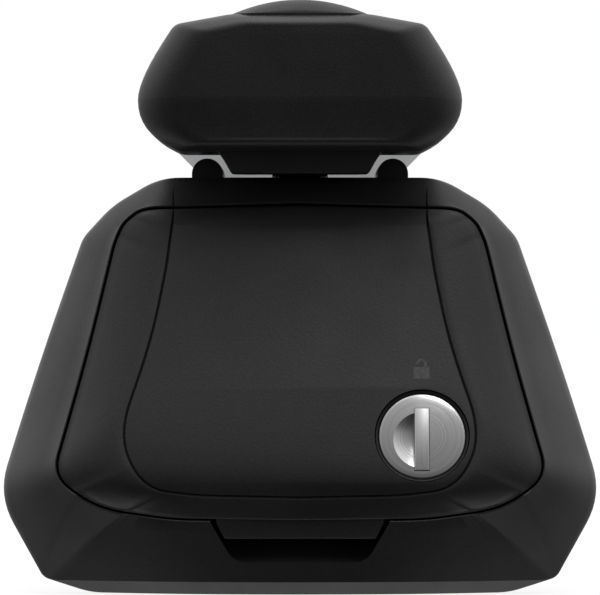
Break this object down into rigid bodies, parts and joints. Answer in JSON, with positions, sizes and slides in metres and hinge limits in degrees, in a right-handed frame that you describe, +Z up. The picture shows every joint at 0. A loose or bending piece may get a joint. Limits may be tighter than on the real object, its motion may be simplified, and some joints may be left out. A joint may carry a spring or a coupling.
{
  "type": "roof rack crossbar unit",
  "caption": "Crossbar of a raised-rail roof rack: an extruded bar with end caps and a rubber strip, on clamping feet with hinged, lockable covers.",
  "frame": {"origin": "on the floor plane midway between the feet, under the middle of the bar", "axes": "+X across the bar, along the roof rail; +Y along the bar; +Z up. The pictured foot is the left one, at -Y, and faces -Y"},
  "size_m": [0.1192, 1.18, 0.1187],
  "materials": {
    "black_plastic": "moulded, fine grain, satin",
    "dark_cast": "cast, black coated",
    "black_coated_metal": "black coated, satin",
    "brushed_lock": "brushed",
    "steel": "bright plated",
    "bar_aluminium": "anodised, satin",
    "rubber": "matt"
  },
  "bodies": {
    "bar": {"bar": "bar_aluminium", "top_strip": "rubber", "left_end_cap": "black_plastic", "right_end_cap": "black_plastic"},
    "left_foot": {"left_housing": "black_plastic", "left_chassis": "dark_cast", "left_hinge_pin": "steel", "left_bar_clamp": "black_coated_metal", "left_clamp_pins": "steel", "left_tension_washer": "steel", "left_saddle_pad": "rubber", "left_outer_pad": "rubber"},
    "left_cover": {"left_cover": "black_plastic", "left_lock_housing": "black_coated_metal"},
    "left_lock": {"left_lock_core": "brushed_lock", "left_lock_cam": "steel", "left_cam_screw": "steel"},
    "left_key_flap": {"left_key_shutter": "brushed_lock"},
    "left_jaw": {"left_jaw": "dark_cast", "left_jaw_nut": "steel", "left_jaw_pad": "rubber"},
    "left_screw": {"left_tension_screw": "steel"},
    "right_foot": {"right_housing": "black_plastic", "right_chassis": "dark_cast", "right_hinge_pin": "steel", "right_bar_clamp": "black_coated_metal", "right_clamp_pins": "steel", "right_tension_washer": "steel", "right_saddle_pad": "rubber", "right_outer_pad": "rubber"},
    "right_cover": {"right_cover": "black_plastic", "right_lock_housing": "black_coated_metal"},
    "right_lock": {"right_lock_core": "brushed_lock", "right_lock_cam": "steel", "right_cam_screw": "steel"},
    "right_key_flap": {"right_key_shutter": "brushed_lock"},
    "right_jaw": {"right_jaw": "dark_cast", "right_jaw_nut": "steel", "right_jaw_pad": "rubber"},
    "right_screw": {"right_tension_screw": "steel"}
  },
  "joints": [
    {"name": "left_foot_slide", "type": "slide", "parent": "bar", "child": "left_foot", "axis": [0, 1, 0], "range_m": [0, 0.2]},
    {"name": "left_cover_hinge", "type": "hinge", "parent": "left_foot", "child": "left_cover", "pos_m": [0, -0.56677, 0.0746], "axis": [-1, 0, 0], "range_deg": [0, 80]},
    {"name": "left_lock_turn", "type": "hinge", "parent": "left_cover", "child": "left_lock", "pos_m": [0.0243, -0.5814, 0.0318], "axis": [0, 0.9703, -0.2419], "range_deg": [0, 90]},
    {"name": "left_key_push", "type": "slide", "parent": "left_lock", "child": "left_key_flap", "axis": [0, 0.9703, -0.2419], "range_m": [0, 0.003], "stiffness_N_per_m": 60},
    {"name": "left_screw_turn", "type": "hinge", "parent": "left_foot", "child": "left_screw", "pos_m": [0, -0.59, 0.052], "axis": [0, 1, 0], "range_deg": [0, 3744.1]},
    {"name": "left_jaw_clamp", "type": "slide", "parent": "left_foot", "child": "left_jaw", "axis": [0, -1, 0], "range_m": [0, 0.013]},
    {"name": "right_foot_slide", "type": "slide", "parent": "bar", "child": "right_foot", "axis": [0, -1, 0], "range_m": [0, 0.2]},
    {"name": "right_cover_hinge", "type": "hinge", "parent": "right_foot", "child": "right_cover", "pos_m": [0, 0.56677, 0.0746], "axis": [1, 0, 0], "range_deg": [0, 80]},
    {"name": "right_lock_turn", "type": "hinge", "parent": "right_cover", "child": "right_lock", "pos_m": [-0.0243, 0.5814, 0.0318], "axis": [0, -0.9703, -0.2419], "range_deg": [0, 90]},
    {"name": "right_key_push", "type": "slide", "parent": "right_lock", "child": "right_key_flap", "axis": [0, -0.9703, -0.2419], "range_m": [0, 0.003], "stiffness_N_per_m": 60},
    {"name": "right_screw_turn", "type": "hinge", "parent": "right_foot", "child": "right_screw", "pos_m": [0, 0.59, 0.052], "axis": [0, -1, 0], "range_deg": [0, 3744.1]},
    {"name": "right_jaw_clamp", "type": "slide", "parent": "right_foot", "child": "right_jaw", "axis": [0, 1, 0], "range_m": [0, 0.013]}
  ],
  "couplings": [
    {"joint": "left_screw_turn", "follows": "left_jaw_clamp", "rad_per_m": 5026.5},
    {"joint": "right_screw_turn", "follows": "right_jaw_clamp", "rad_per_m": 5026.5}
  ]
}
